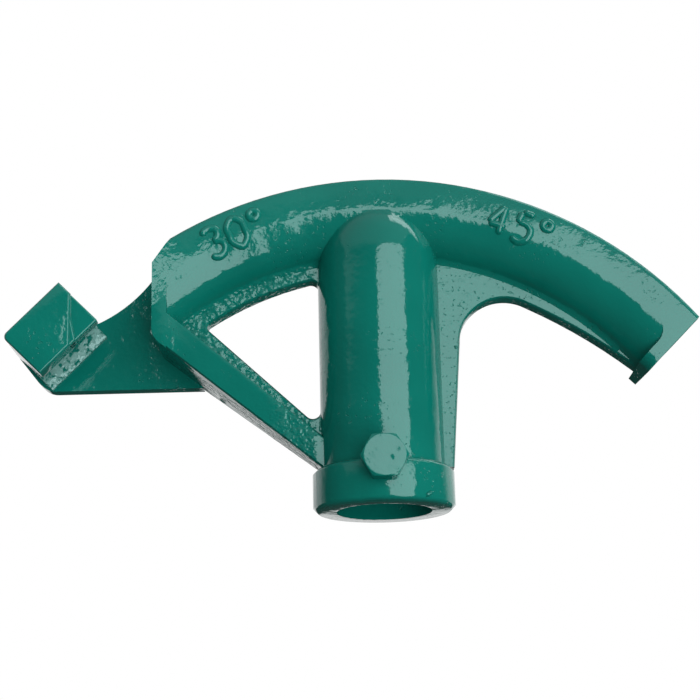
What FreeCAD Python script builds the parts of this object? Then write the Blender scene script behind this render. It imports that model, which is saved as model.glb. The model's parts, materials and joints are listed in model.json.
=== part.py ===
# Pipe bender: a one-piece cast bending head with a set bolt that clamps its pipe handle.
#
# Frame: the origin is the centre of the handle socket's mouth. +Z runs up the socket, +X along the
# bending shoe away from the hook, and +Y away from the side that the set bolt is on.
# Lengths are in millimetres and angles in degrees.
import FreeCAD, Part
import math
import os

import Sketcher
from FreeCAD import Placement, Rotation, Vector

# Driving dimensions: alias, value, meaning
SIZES = (
    ("conduit_diameter", 15.9, "outside diameter of the conduit that the shoe bends"),
    ("conduit_clearance", 0.35, "gap between the conduit and the groove, all round"),
    ("bend_radius", 110.5, "bend radius at the conduit's centreline"),
    ("shoe_wall", 4.7, "thickness of the groove's walls and floor"),
    ("rim_rise", 9.0, "height of the groove's rim over the conduit's centreline"),
    ("arc_centre_drop", 20.8, "how far the bend's centre lies below the socket's mouth"),
    ("start_setback", 11.2, "how far the shoe's hook end stops short of the bend's tangent point"),
    ("start_chamfer_width", 5.3, "chamfer at the hook end's upper corner, along X"),
    ("start_chamfer_height", 7.6, "the same chamfer, along Z"),
    ("start_flange", 4.3, "thickness of the flange that squares off the hook end"),
    ("finish_angle", 51.6, "angle from the socket's axis to the rim's far end"),
    ("finish_lean_angle", 45.0, "lean of the far end's face from the vertical"),
    ("finish_height", 21.9, "height of the far end's face"),
    ("finish_flange", 3.8, "thickness of the flange at the far end"),
    ("flange_corner", 4.0, "rounding of the far flange's lower corners"),
    ("flange_blend", 6.0, "hollow that blends the far flange into the shoe's belly"),
    ("spare_angle", 11.0, "further turn of the shoe, which the cuts at its ends take off"),
    ("socket_radius", 14.0, "bore for the pipe handle"),
    ("socket_depth", 65.0, "depth of that bore"),
    ("socket_wall", 4.2, "wall of the socket's tube"),
    ("collar_step", 2.6, "how far the collar stands out of the tube"),
    ("collar_height", 12.3, "height of the collar at the mouth"),
    ("collar_bevel", 1.4, "bevel of the collar's outer edges"),
    ("dome_drop", 22.8, "how far the dome's centre lies below the rim's crown"),
    ("web_thickness", 6.0, "thickness of the webs between tube and shoe"),
    ("opening_margin", 4.1, "web left between the shoe and the triangular opening"),
    ("opening_angle", 34.0, "angle from the socket's axis to the opening's far corner"),
    ("opening_rise", 5.8, "web left between the brace and the opening beside the tube"),
    ("opening_tip", 1.4, "rounding of the opening's far corner"),
    ("opening_corner", 2.4, "rounding of its two corners beside the tube"),
    ("brace_toe_rise", 1.0, "how far the brace's lower edge lies over the sole at the hook end"),
    ("brace_toe_height", 10.9, "height of the brace there"),
    ("brace_foot_low", 9.7, "lower edge of the brace inside the tube's wall"),
    ("brace_foot_height", 9.1, "height of the brace there"),
    ("brace_foot_width", 10.6, "width of the brace there"),
    ("brace_toe_round", 6.0, "rounding of the corner where brace and hook end meet"),
    ("arch_radius", 13.7, "radius of the arch under the shoe's plain side"),
    ("arch_reach", 37.5, "distance from the socket's axis to the arch's centre"),
    ("arch_margin", 5.8, "web left between the shoe's sole and the arch's crown"),
    ("arch_turn_angle", 30.0, "angle past the crown at which the arch runs into the rib"),
    ("rib_radius", 160.0, "radius of the rib's edge from the arch to the far end"),
    ("rib_end_rise", 0.6, "how far the rib's edge ends over the far flange's lower edge"),
    ("rib_root_angle", 48.6, "angle from the socket's axis to the rib's end inside that flange"),
    ("hook_angle", 45.0, "slope of the straight conduit that the hook holds"),
    ("hook_gap", 3.6, "distance from the bend's tangent point to the hook"),
    ("hook_length", 23.0, "length of the hook along the conduit"),
    ("hook_cap", 11.3, "thickness of the hook over the conduit"),
    ("hook_lip", 5.0, "how far the hook's lip reaches down beside the conduit"),
    ("hook_trim", 5.1, "how far down the hook's end face its upright cut starts"),
    ("hook_rib_land", 0.6, "blunt edge of the rib behind the hook"),
    ("hook_rib_rise", 4.3, "rise of that rib from its edge to the arm"),
    ("hook_round", 1.8, "rounding of the hook's outer corner"),
    ("arm_drop", 4.2, "how far the arm's end reaches down past the conduit's crown"),
    ("arm_root_angle", 34.4, "angle at which the arm's upper edge leaves the rim"),
    ("arm_radius", 43.0, "hollow of the arm's upper edge"),
    ("arm_flare", 1.2, "how far the arm's end reaches past the end of the hook"),
    ("arm_round", 6.0, "rounding of the arm's lower corner"),
    ("rim_bevel", 0.8, "bevel that eases the rim's edges"),
    ("edge_bevel", 0.6, "bevel that eases the other cast edges"),
    ("root_radius", 1.4, "radius that the sloped root of a web stands for, where it meets the shoe"),
    ("root_stop_angle", 5.0, "angle by which those roots stop short of the shoe's ends"),
    ("bolt_radius", 4.0, "set bolt's shank"),
    ("bolt_clearance", 0.06, "gap round the shank in its hole"),
    ("bolt_height", 11.6, "height of the set bolt's axis over the mouth"),
    ("bolt_stand_off", 1.0, "gap between the bolt's head and the collar"),
    ("bolt_tip_setback", 0.2, "how far the bolt's tip stays back from the bore"),
    ("bolt_across_flats", 12.0, "width of the hexagon head"),
    ("bolt_head_height", 5.3, "height of the hexagon head"),
    ("bolt_bevel_angle", 30.0, "slope of the bevel that rounds the head's face"),
    ("bolt_tip_chamfer", 0.8, "chamfer of the bolt's tip"),
)

# Two places closer than this count as one
TOUCH = 0.1


class Size:
    """A size known both as a number and as a formula on the sheet of sizes."""

    def __init__(self, number, formula):
        self.number = number
        self.formula = formula

    def __add__(self, other):
        return join(self, "+", other, self.number + number_of(other))

    def __radd__(self, other):
        return join(other, "+", self, number_of(other) + self.number)

    def __sub__(self, other):
        return join(self, "-", other, self.number - number_of(other))

    def __rsub__(self, other):
        return join(other, "-", self, number_of(other) - self.number)

    def __mul__(self, other):
        return join(self, "*", other, self.number * number_of(other))

    def __rmul__(self, other):
        return join(other, "*", self, number_of(other) * self.number)

    def __truediv__(self, other):
        return join(self, "/", other, self.number / number_of(other))

    def __neg__(self):
        return Size(-self.number, f"(0 - {self.formula})")


def number_of(value):
    """The number behind a size or a plain number."""
    return value.number if isinstance(value, Size) else float(value)


def formula_of(value):
    """The formula behind a size or a plain number."""
    return value.formula if isinstance(value, Size) else f"{value:g}"


def join(first, sign, second, number):
    """Two values joined by a sign, as a size."""
    return Size(number, f"({formula_of(first)} {sign} {formula_of(second)})")


def sine(angle):
    """Sine of an angle in degrees."""
    return Size(math.sin(math.radians(angle.number)), f"sin({angle.formula})")


def cosine(angle):
    """Cosine of an angle in degrees."""
    return Size(math.cos(math.radians(angle.number)), f"cos({angle.formula})")


def root(value):
    """Square root of a size."""
    return Size(math.sqrt(value.number), f"sqrt({value.formula})")


def fill_sheet(document):
    """Write the driving dimensions on a sheet and return them by name."""
    sheet = document.addObject("Spreadsheet::Sheet", "sizes")
    for row, (alias, value, meaning) in enumerate(SIZES, start=1):
        sheet.set(f"A{row}", alias)
        sheet.set(f"B{row}", str(value))
        sheet.set(f"C{row}", meaning)
        sheet.setAlias(f"B{row}", alias)
    document.recompute()
    return {alias: Size(float(sheet.get(alias)), f"sizes.{alias}") for alias, _, _ in SIZES}


def bind(feature, prop, size):
    """Bind one property of a feature to a size."""
    feature.setExpression(prop, formula_of(size))


def add_sketch(body, name, role, offset=(0, 0, 0), tilt=None):
    """Add a sketch on one of the body's origin planes, moved and tilted within that plane."""
    sketch = body.newObject("Sketcher::SketchObject", name)
    plane = next(part for part in body.Origin.OriginFeatures if part.Role == role)
    sketch.AttachmentSupport = [(plane, "")]
    sketch.MapMode = "FlatFace"
    if tilt is not None:
        sketch.AttachmentOffset = Placement(Vector(), Rotation(Vector(-1, 0, 0), tilt.number))
        bind(sketch, ".AttachmentOffset.Rotation.Angle", tilt)
    for axis, value in zip("xyz", offset):
        if isinstance(value, Size):
            bind(sketch, f".AttachmentOffset.Base.{axis}", value)
    return sketch


def pin_point(sketch, edge, end, x, y):
    """Pin one end of an edge to a place given by two sizes; a plain 0 pins it to the axis."""
    axes = (("DistanceX", x, -2), ("DistanceY", y, -1))
    for kind, value, axis in axes:
        if isinstance(value, Size):
            dimension = Sketcher.Constraint(kind, -1, 1, edge, end, value.number)
            index = sketch.addConstraint(dimension)
            bind(sketch, f"Constraints[{index}]", value)
        else:
            sketch.addConstraint(Sketcher.Constraint("PointOnObject", edge, end, axis))


def arc_between(start, end, radius):
    """Arc from start to end that turns left for a radius over 0, and right for one under 0."""
    chord = end - start
    side = math.copysign(1.0, radius)
    rise = math.sqrt(radius * radius - (chord.Length / 2) ** 2)
    across = Vector(-chord.y, chord.x, 0).normalize()
    centre = (start + end) * 0.5 + across * rise * side
    first, last = (start, end) if side > 0 else (end, start)
    angles = [math.atan2(point.y - centre.y, point.x - centre.x) for point in (first, last)]
    circle = Part.Circle(centre, Vector(0, 0, 1), abs(radius))
    return Part.ArcOfCircle(circle, angles[0], angles[1])


def draw_outline(sketch, corners):
    """Draw a closed outline through corners (x, y) or (x, y, radius of the arc to the next)."""
    places = [Vector(number_of(corner[0]), number_of(corner[1]), 0) for corner in corners]
    ends = []
    for index, corner in enumerate(corners):
        start, end = places[index], places[(index + 1) % len(places)]
        if len(corner) == 3:
            radius = corner[2]
            edge = sketch.addGeometry(arc_between(start, end, number_of(radius)), False)
            ends.append((edge, 1, 2) if number_of(radius) > 0 else (edge, 2, 1))
        else:
            edge = sketch.addGeometry(Part.LineSegment(start, end), False)
            ends.append((edge, 1, 2))
    for index, (edge, first, last) in enumerate(ends):
        after = ends[(index + 1) % len(ends)]
        sketch.addConstraint(Sketcher.Constraint("Coincident", edge, last, after[0], after[1]))
    for (edge, first, last), corner in zip(ends, corners):
        pin_point(sketch, edge, first, corner[0], corner[1])
        if len(corner) == 3:
            radius = corner[2] if number_of(corner[2]) > 0 else -corner[2]
            dimension = Sketcher.Constraint("Radius", edge, number_of(radius))
            bind(sketch, f"Constraints[{sketch.addConstraint(dimension)}]", radius)


def draw_bar(sketch, side, low, high, bevel):
    """Draw the section of a flat bar with bevelled corners, centred on the sketch's upright axis."""
    draw_outline(sketch, [
        (bevel - side, low),
        (side - bevel, low),
        (side, low + bevel),
        (side, high - bevel),
        (side - bevel, high),
        (bevel - side, high),
        (-side, high - bevel),
        (-side, low + bevel),
    ])


def draw_circle(sketch, x, y, radius):
    """Draw a circle bound to its centre and radius."""
    centre = Vector(number_of(x), number_of(y), 0)
    circle = Part.Circle(centre, Vector(0, 0, 1), radius.number)
    edge = sketch.addGeometry(circle, False)
    pin_point(sketch, edge, 3, x, y)
    index = sketch.addConstraint(Sketcher.Constraint("Radius", edge, radius.number))
    bind(sketch, f"Constraints[{index}]", radius)


def extrude(body, kind, name, sketch, length, midplane=False, reverse=False):
    """Pad or pocket a sketch by a length."""
    feature = body.newObject(f"PartDesign::{kind}", name)
    feature.Profile = sketch
    feature.Type = "Length"
    bind(feature, "Length", length)
    feature.Midplane = midplane
    feature.Reversed = reverse
    return feature


def turn(body, kind, name, sketch, axis, right=None, left=None):
    """Revolve a sketch about one of its axes, all round or by two angles from its plane."""
    feature = body.newObject(f"PartDesign::{kind}", name)
    feature.Profile = sketch
    feature.ReferenceAxis = (sketch, [axis])
    if right is None:
        feature.Angle = 360.0
    else:
        feature.Type = "TwoAngles"
        bind(feature, "Angle", right)
        bind(feature, "Angle2", left)
    return feature


def dress_edges(body, kind, prop, name, size, wanted):
    """Round or bevel those edges of the body's tip that the test accepts."""
    body.Document.recompute()
    base = body.Tip
    names = [
        f"Edge{index}"
        for index, edge in enumerate(base.Shape.Edges, start=1)
        if wanted(edge)
    ]
    if not names:
        raise RuntimeError(f"{name} found no edge")
    feature = body.newObject(f"PartDesign::{kind}", name)
    feature.Base = (base, names)
    bind(feature, prop, size)


def round_edges(body, name, radius, wanted):
    """Round edges by a radius."""
    dress_edges(body, "Fillet", "Radius", name, radius, wanted)


def bevel_edges(body, name, width, wanted):
    """Bevel edges evenly by a width."""
    dress_edges(body, "Chamfer", "Size", name, width, wanted)


def derive(size):
    """Add the sizes that follow from the driving ones."""
    size["groove_radius"] = size["conduit_diameter"] / 2 + size["conduit_clearance"]
    size["shoe_half"] = size["groove_radius"] + size["shoe_wall"]
    size["rim_radius"] = size["bend_radius"] + size["rim_rise"]
    size["sole_radius"] = size["bend_radius"] - size["shoe_half"]
    size["web_root_radius"] = size["sole_radius"] + size["shoe_wall"] / 2
    size["tube_radius"] = size["socket_radius"] + size["socket_wall"]
    size["collar_radius"] = size["tube_radius"] + size["collar_step"]
    size["dome_height"] = size["rim_radius"] - size["arc_centre_drop"] - size["dome_drop"]
    size["hook_crown"] = size["bend_radius"] + size["groove_radius"]
    size["hook_top"] = size["hook_crown"] + size["hook_cap"]
    size["shoe_turn"] = size["finish_angle"] + size["spare_angle"]
    size["start_reach"] = size["bend_radius"] * sine(size["hook_angle"]) - size["start_setback"]
    size["flange_reach"] = size["start_reach"] - size["start_flange"]
    size["brace_toe_low"] = arc_height(
        size, size["sole_radius"], size["start_reach"]) + size["brace_toe_rise"]
    size["brace_slope"] = (size["brace_toe_low"] - size["brace_foot_low"]) / (
        size["start_reach"] - size["socket_radius"])
    size["flange_low"] = size["brace_toe_low"] - size["start_flange"] * size["brace_slope"]
    size["opening_foot"] = (
        size["brace_foot_low"] + size["brace_foot_height"] + size["opening_rise"])
    size["arch_height"] = arc_height(
        size, size["sole_radius"], size["arch_reach"]) - size["arch_margin"] - size["arch_radius"]


def on_arc(size, radius, angle):
    """Place (x, z) at a radius about the bend's centre and an angle from the socket's axis."""
    return radius * sine(angle), radius * cosine(angle) - size["arc_centre_drop"]


def arc_height(size, radius, x):
    """Height of the circle of a radius about the bend's centre, at a distance x."""
    return root(radius * radius - x * x) - size["arc_centre_drop"]


def on_hook(size, rise, run):
    """Place (x, z) from a rise off the bend's centre and a run along the held conduit."""
    lean, level = sine(size["hook_angle"]), cosine(size["hook_angle"])
    return run * level - rise * lean, rise * level + run * lean - size["arc_centre_drop"]


def on_finish(size, down, inward):
    """Place (x, z) from the rim's far end: down along the end face, and inward from it."""
    x, z = on_arc(size, size["rim_radius"], size["finish_angle"])
    lean, level = sine(size["finish_lean_angle"]), cosine(size["finish_lean_angle"])
    return x - down * lean - inward * level, z - down * level + inward * lean


def add_shoe(body, size):
    """The curved shoe: an arc of round-bottomed section, cut square at both ends."""
    half, rim, middle = size["shoe_half"], size["rim_radius"], size["bend_radius"]
    bevel = size["rim_bevel"]
    section = add_sketch(body, "shoe_section", "YZ_Plane", (0, -size["arc_centre_drop"], 0))
    draw_outline(section, [
        (-half, middle, half),
        (0, middle - half, half),
        (half, middle),
        (half, rim - bevel),
        (half - bevel, rim),
        (bevel - half, rim),
        (-half, rim - bevel),
    ])
    turn(body, "Revolution", "shoe", section, "H_Axis", size["shoe_turn"], size["hook_angle"])

    reach, width = size["start_reach"], 2 * half
    chamfer_top = reach - size["start_chamfer_width"], arc_height(
        size, rim, reach - size["start_chamfer_width"])
    chamfer_foot = chamfer_top[1] - size["start_chamfer_height"]
    slope = size["start_chamfer_height"] / size["start_chamfer_width"]
    start_cut = add_sketch(body, "start_cut_outline", "XZ_Plane")
    draw_outline(start_cut, [
        (-size["flange_reach"], 0),
        (-size["flange_reach"], size["flange_low"]),
        (-reach, size["brace_toe_low"]),
        (-reach, chamfer_foot),
        (half - reach, chamfer_foot + half * slope),
        (-rim, chamfer_foot + half * slope),
        (-rim, 0),
    ])
    extrude(body, "Pocket", "start_cut", start_cut, width, midplane=True)

    far = 2 * size["finish_height"]
    finish_cut = add_sketch(body, "finish_cut_outline", "XZ_Plane")
    draw_outline(finish_cut, [
        on_finish(size, -half, 0),
        on_finish(size, far, 0),
        on_finish(size, far, -width),
        on_finish(size, -half, -width),
    ])
    extrude(body, "Pocket", "finish_cut", finish_cut, width, midplane=True)


def add_finish_flange(body, size):
    """The flange that squares off the shoe's far end, blended into the shoe's belly."""
    foot, thickness = size["finish_height"], size["finish_flange"]
    # The hollow starts in the flat part of the shoe's side, which ends at the bend radius
    top, blend = size["rim_rise"] - size["rim_bevel"], size["flange_blend"]
    outline = add_sketch(body, "finish_flange_outline", "XZ_Plane")
    draw_outline(outline, [
        on_finish(size, top, 0),
        on_finish(size, top, thickness + blend) + (-blend,),
        on_finish(size, top + blend, thickness),
        on_finish(size, foot, thickness),
        on_finish(size, foot, 0),
    ])
    extrude(body, "Pad", "finish_flange_plate", outline, 2 * size["shoe_half"], midplane=True)
    foot_x, foot_z = map(number_of, on_finish(size, foot, thickness / 2))
    side = number_of(size["shoe_half"])
    round_edges(body, "finish_flange_corners", size["flange_corner"], lambda edge: near(
        edge, foot_x, foot_z) and abs(edge.CenterOfMass.y) > side - TOUCH)


def add_brace(body, size):
    """The flange at the shoe's hook end, and the brace that tapers from it to the tube."""
    half, reach = size["shoe_half"], size["start_reach"]
    inner, low = size["flange_reach"], size["flange_low"]
    high = low + size["brace_toe_height"]
    top = arc_height(size, size["bend_radius"], reach) + size["rim_rise"] / 2
    outline = add_sketch(body, "start_flange_outline", "XZ_Plane")
    draw_outline(outline, [
        (-reach, size["brace_toe_low"]),
        (-inner, low),
        (-inner, top),
        (-reach, top),
    ])
    extrude(body, "Pad", "start_flange_plate", outline, 2 * half, midplane=True)
    toe_x, toe_z = -number_of(reach), number_of(size["brace_toe_low"])
    round_edges(body, "brace_toe", size["brace_toe_round"], lambda edge: near(
        edge, toe_x, toe_z))

    toe = add_sketch(body, "brace_toe_section", "YZ_Plane", (0, 0, -inner))
    draw_bar(toe, half, low, high, size["edge_bevel"])
    foot = add_sketch(body, "brace_foot_section", "YZ_Plane", (0, 0, -size["socket_radius"]))
    side, foot_low = size["brace_foot_width"] / 2, size["brace_foot_low"]
    draw_bar(foot, side, foot_low, foot_low + size["brace_foot_height"], size["edge_bevel"])
    brace = body.newObject("PartDesign::AdditiveLoft", "brace")
    brace.Profile = toe
    brace.Sections = [foot]
    brace.Ruled = True


def add_brace_web(body, size):
    """The web on the hook's side, with its triangular opening."""
    root_radius, thickness = size["web_root_radius"], size["web_thickness"]
    crown = 0, root_radius - size["arc_centre_drop"]
    reach = size["start_reach"]
    toe_z = size["brace_toe_low"] + size["brace_toe_height"] / 2
    foot_z = size["brace_foot_low"] + size["brace_foot_height"] / 2
    outline = add_sketch(body, "brace_web_outline", "XZ_Plane")
    draw_outline(outline, [
        crown + (root_radius,),
        (-reach, arc_height(size, root_radius, reach)),
        (-reach, toe_z),
        (-size["socket_radius"], foot_z),
        (0, foot_z),
    ])
    extrude(body, "Pad", "brace_web", outline, thickness, midplane=True)

    flank = root(size["tube_radius"] * size["tube_radius"] - thickness * thickness / 4)
    edge_radius = size["sole_radius"] - size["opening_margin"]
    opening = add_sketch(body, "opening_outline", "XZ_Plane")
    draw_outline(opening, [
        (-flank, size["opening_foot"]),
        (-flank, arc_height(size, edge_radius, flank), edge_radius),
        on_arc(size, edge_radius, -size["opening_angle"]),
    ])
    extrude(body, "Pocket", "opening", opening, 2 * size["shoe_half"], midplane=True)
    tip_x, tip_z = map(number_of, on_arc(size, edge_radius, -size["opening_angle"]))
    round_edges(body, "opening_tip", size["opening_tip"], lambda edge: near(edge, tip_x, tip_z))
    side = -number_of(flank)
    heights = number_of(size["opening_foot"]), number_of(arc_height(size, edge_radius, flank))
    round_edges(body, "opening_corners", size["opening_corner"], lambda edge: any(
        near(edge, side, height) for height in heights))
    low, high = heights
    bevel_edges(body, "opening_edges", size["edge_bevel"], lambda edge: (
        at_depth(edge, thickness / 2) and tip_x - TOUCH < edge.CenterOfMass.x < side + TOUCH
        and low - TOUCH < edge.CenterOfMass.z < high + TOUCH))


def add_rib_web(body, size):
    """The web on the plain side, cut away below by an arch and running out along a rib."""
    root_radius, thickness = size["web_root_radius"], size["web_thickness"]
    crown = 0, root_radius - size["arc_centre_drop"]

    arch, arch_x = size["arch_radius"], size["arch_reach"]
    arch_z, past = size["arch_height"], size["arch_turn_angle"]
    turn_x, turn_z = arch * sine(past), arch * cosine(past)
    outline = add_sketch(body, "rib_web_outline", "XZ_Plane")
    draw_outline(outline, [
        (0, size["collar_height"]),
        (size["collar_radius"], size["collar_height"]),
        (arch_x - arch, arch_z, -arch),
        (arch_x + turn_x, arch_z + turn_z, -size["rib_radius"]),
        on_finish(size, size["finish_height"] - size["rib_end_rise"], size["finish_flange"] / 2),
        on_arc(size, root_radius, size["rib_root_angle"]) + (root_radius,),
        crown,
    ])
    extrude(body, "Pad", "rib_web", outline, thickness, midplane=True)
    # Along the rib the web runs out into the shoe, so its edges there stay sharp
    start_x, end_x = number_of(size["collar_radius"]), number_of(arch_x + turn_x)
    arch_top = number_of(arch_z + arch)
    bevel_edges(body, "arch_edges", size["edge_bevel"], lambda edge: (
        at_depth(edge, thickness / 2) and start_x < edge.CenterOfMass.x < end_x
        and all(end.Z < arch_top + TOUCH for end in edge.Vertexes)))


def add_web_roots(body, size):
    """The sloped roots between the webs and the shoe's round sole."""
    soft, half, middle = size["root_radius"], size["shoe_half"], size["bend_radius"]
    side = size["web_thickness"] / 2
    centre_side, centre_reach = side + soft, half + soft
    centre_drop = root(centre_reach * centre_reach - centre_side * centre_side)
    touch_side = centre_side * half / centre_reach
    touch_drop = centre_drop * half / centre_reach
    section = add_sketch(body, "root_section", "YZ_Plane", (0, -size["arc_centre_drop"], 0))
    draw_outline(section, [
        (-touch_side, middle - touch_drop),
        (-side, middle - centre_drop),
        (side, middle - centre_drop),
        (touch_side, middle - touch_drop),
    ])
    turn(body, "Revolution", "web_roots", section, "H_Axis",
         size["finish_angle"] - size["root_stop_angle"],
         size["hook_angle"] - size["root_stop_angle"])


def add_arm(body, size):
    """The arm: the shoe's back wall, carried on past its hook end to the hook."""
    half, rim = size["shoe_half"], size["rim_radius"]
    start, end = size["hook_gap"] + size["hook_length"], size["hook_gap"]
    lean, level = sine(size["hook_angle"]), cosine(size["hook_angle"])
    flared, soft = start + size["arm_flare"], size["hook_round"]
    corner_x, foot = on_hook(size, size["hook_crown"] - size["arm_drop"], -flared)
    # The rounding's tangent length, for a corner that turns by the hook's angle
    toe = size["arm_round"] * (1 - level) / lean
    foot_x = size["start_reach"] - (size["brace_toe_low"] - foot) / size["brace_slope"]
    shoe_x = size["start_reach"] - size["start_chamfer_width"]
    back = add_sketch(body, "arm_outline", "XZ_Plane", (0, 0, -half))
    draw_outline(back, [
        on_hook(size, size["hook_top"], -end),
        on_hook(size, size["hook_top"], soft - start) + (soft,),
        on_hook(size, size["hook_top"] - soft, -start),
        on_hook(size, size["hook_crown"], -flared),
        on_hook(size, size["hook_crown"] - size["arm_drop"] + toe, -flared) + (size["arm_round"],),
        (corner_x + toe, foot),
        (-foot_x, foot),
        (-shoe_x, arc_height(size, size["bend_radius"], shoe_x)),
        (-shoe_x, arc_height(size, rim, shoe_x), rim),
        on_arc(size, rim, -size["arm_root_angle"]) + (-size["arm_radius"],),
        on_hook(size, rim, -end),
    ])
    extrude(body, "Pad", "arm", back, size["shoe_wall"])


def add_hook(body, size):
    """The hook: a thick cap over the conduit, trimmed upright, with a rib behind the trim."""
    half, crown = size["shoe_half"], size["hook_crown"]
    start, end = size["hook_gap"] + size["hook_length"], size["hook_gap"]
    lean, level = sine(size["hook_angle"]), cosine(size["hook_angle"])
    lip, soft = crown - size["hook_lip"], size["hook_round"]
    trim_rise = size["hook_top"] - size["hook_trim"]
    trim = trim_rise * lean + end * level
    outline = add_sketch(body, "hook_outline", "XZ_Plane")
    draw_outline(outline, [
        on_hook(size, size["hook_top"], -end),
        on_hook(size, size["hook_top"], soft - start) + (soft,),
        on_hook(size, size["hook_top"] - soft, -start),
        on_hook(size, lip, -start),
        on_hook(size, lip, (lip * lean - trim) / level),
        on_hook(size, trim_rise, -end),
    ])
    extrude(body, "Pad", "hook_block", outline, 2 * half, midplane=True)

    land = crown + size["hook_rib_land"]
    rib = add_sketch(body, "hook_rib_section", "YZ_Plane",
                     (0, -size["arc_centre_drop"] - end * lean, -end * level),
                     size["hook_angle"])
    draw_outline(rib, [
        (0, lip),
        (half, lip),
        (half, land + size["hook_rib_rise"]),
        (size["groove_radius"], land + size["hook_rib_rise"]),
        (0, land),
    ])
    extrude(body, "Pad", "hook_rib", rib, size["hook_length"], reverse=True)


def add_socket(body, size):
    """The handle socket: collar, tube and the dome that dies into the shoe."""
    tube, collar, dome = size["tube_radius"], size["collar_radius"], size["dome_height"]
    bevel, height = size["collar_bevel"], size["collar_height"]
    outline = add_sketch(body, "socket_outline", "XZ_Plane")
    draw_outline(outline, [
        (0, 0),
        (collar - bevel, 0),
        (collar, bevel),
        (collar, height - bevel),
        (collar - bevel, height),
        (tube, height),
        (tube, dome, tube),
        (0, dome + tube),
    ])
    turn(body, "Revolution", "socket", outline, "V_Axis")


def cut_groove(body, size):
    """The conduit's groove round the shoe, its rim bevelled toward the walls."""
    radius, middle, rim = size["groove_radius"], size["bend_radius"], size["rim_radius"]
    bevel, above = size["rim_bevel"], rim + size["rim_rise"]
    section = add_sketch(body, "groove_section", "YZ_Plane", (0, -size["arc_centre_drop"], 0))
    draw_outline(section, [
        (-radius, middle, radius),
        (0, middle - radius, radius),
        (radius, middle),
        (radius, rim - bevel),
        (radius + bevel, rim),
        (radius + bevel, above),
        (-radius - bevel, above),
        (-radius - bevel, rim),
        (-radius, rim - bevel),
    ])
    turn(body, "Groove", "groove", section, "H_Axis", size["shoe_turn"], size["hook_angle"])


def cut_hook_groove(body, size):
    """The same groove, straight through the hook, whose front edges are then bevelled."""
    radius, middle = size["groove_radius"], size["bend_radius"]
    below = middle - radius
    section = add_sketch(body, "hook_groove_section", "YZ_Plane",
                         (0, -size["arc_centre_drop"], 0), size["hook_angle"])
    draw_outline(section, [
        (radius, middle, radius),
        (0, middle + radius, radius),
        (-radius, middle),
        (-radius, below),
        (radius, below),
    ])
    start = size["hook_gap"] + size["hook_length"]
    extrude(body, "Pocket", "hook_groove", section, start + radius)

    inner_x = -number_of(size["start_reach"])
    bevel_edges(body, "hook_edges", size["edge_bevel"], lambda edge: (
        at_depth(edge, size["shoe_half"]) and edge.CenterOfMass.y < 0
        and edge.CenterOfMass.x < inner_x - TOUCH))


def cut_bores(body, size):
    """The handle's bore and the set bolt's hole."""
    bore, depth = size["socket_radius"], size["socket_depth"]
    outline = add_sketch(body, "bore_outline", "XZ_Plane")
    draw_outline(outline, [(0, 0), (bore, 0), (bore, depth), (0, depth)])
    turn(body, "Groove", "bore", outline, "V_Axis")

    hole = add_sketch(body, "bolt_hole_outline", "XZ_Plane")
    draw_circle(hole, 0, size["bolt_height"], size["bolt_radius"] + size["bolt_clearance"])
    extrude(body, "Pocket", "bolt_hole", hole, 2 * size["collar_radius"], reverse=True)


def at_depth(edge, depth):
    """Whether an edge lies in one of the two planes at a depth before or behind the middle."""
    places = [vertex.Point for vertex in edge.Vertexes] + [edge.CenterOfMass]
    return all(abs(abs(place.y) - number_of(depth)) < TOUCH for place in places)


def near(edge, x, z):
    """Whether an edge's middle lies at (x, z), seen from the front."""
    middle = edge.CenterOfMass
    return math.hypot(middle.x - x, middle.z - z) < TOUCH


def make_head(document, size):
    """The cast bending head."""
    body = document.addObject("PartDesign::Body", "bender_head")
    add_shoe(body, size)
    add_brace(body, size)
    add_brace_web(body, size)
    add_rib_web(body, size)
    add_web_roots(body, size)
    add_finish_flange(body, size)
    add_socket(body, size)
    cut_groove(body, size)
    cut_bores(body, size)
    add_arm(body, size)
    add_hook(body, size)
    cut_hook_groove(body, size)
    return body


def make_bolt(document, size):
    """The set bolt, along its own Z axis from the underside of its head."""
    body = document.addObject("PartDesign::Body", "set_bolt")
    radius, chamfer = size["bolt_radius"], size["bolt_tip_chamfer"]
    wall = size["collar_radius"] - size["socket_radius"]
    shank_length = wall + size["bolt_stand_off"] - size["bolt_tip_setback"]
    shank = add_sketch(body, "shank_outline", "XZ_Plane")
    draw_outline(shank, [
        (0, -shank_length),
        (radius - chamfer, -shank_length),
        (radius, chamfer - shank_length),
        (radius, 0),
        (0, 0),
    ])
    turn(body, "Revolution", "shank", shank, "V_Axis")

    flats, height = size["bolt_across_flats"], size["bolt_head_height"]
    corner = flats / math.sqrt(3)
    hexagon = add_sketch(body, "head_outline", "XY_Plane")
    draw_outline(hexagon, [
        (corner, 0),
        (corner / 2, flats / 2),
        (-corner / 2, flats / 2),
        (-corner, 0),
        (-corner / 2, -flats / 2),
        (corner / 2, -flats / 2),
    ])
    extrude(body, "Pad", "head", hexagon, height)

    slope = sine(size["bolt_bevel_angle"]) / cosine(size["bolt_bevel_angle"])
    bevel = add_sketch(body, "bevel_outline", "XZ_Plane")
    draw_outline(bevel, [
        (flats / 2, height),
        (flats, height - flats / 2 * slope),
        (flats, height + radius),
        (flats / 2, height + radius),
    ])
    turn(body, "Groove", "bevel", bevel, "V_Axis")

    body.Placement = Placement(Vector(), Rotation(Vector(1, 0, 0), 90))
    bind(body, "Placement.Base.y", -(size["collar_radius"] + size["bolt_stand_off"]))
    bind(body, "Placement.Base.z", size["bolt_height"])
    return body


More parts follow.
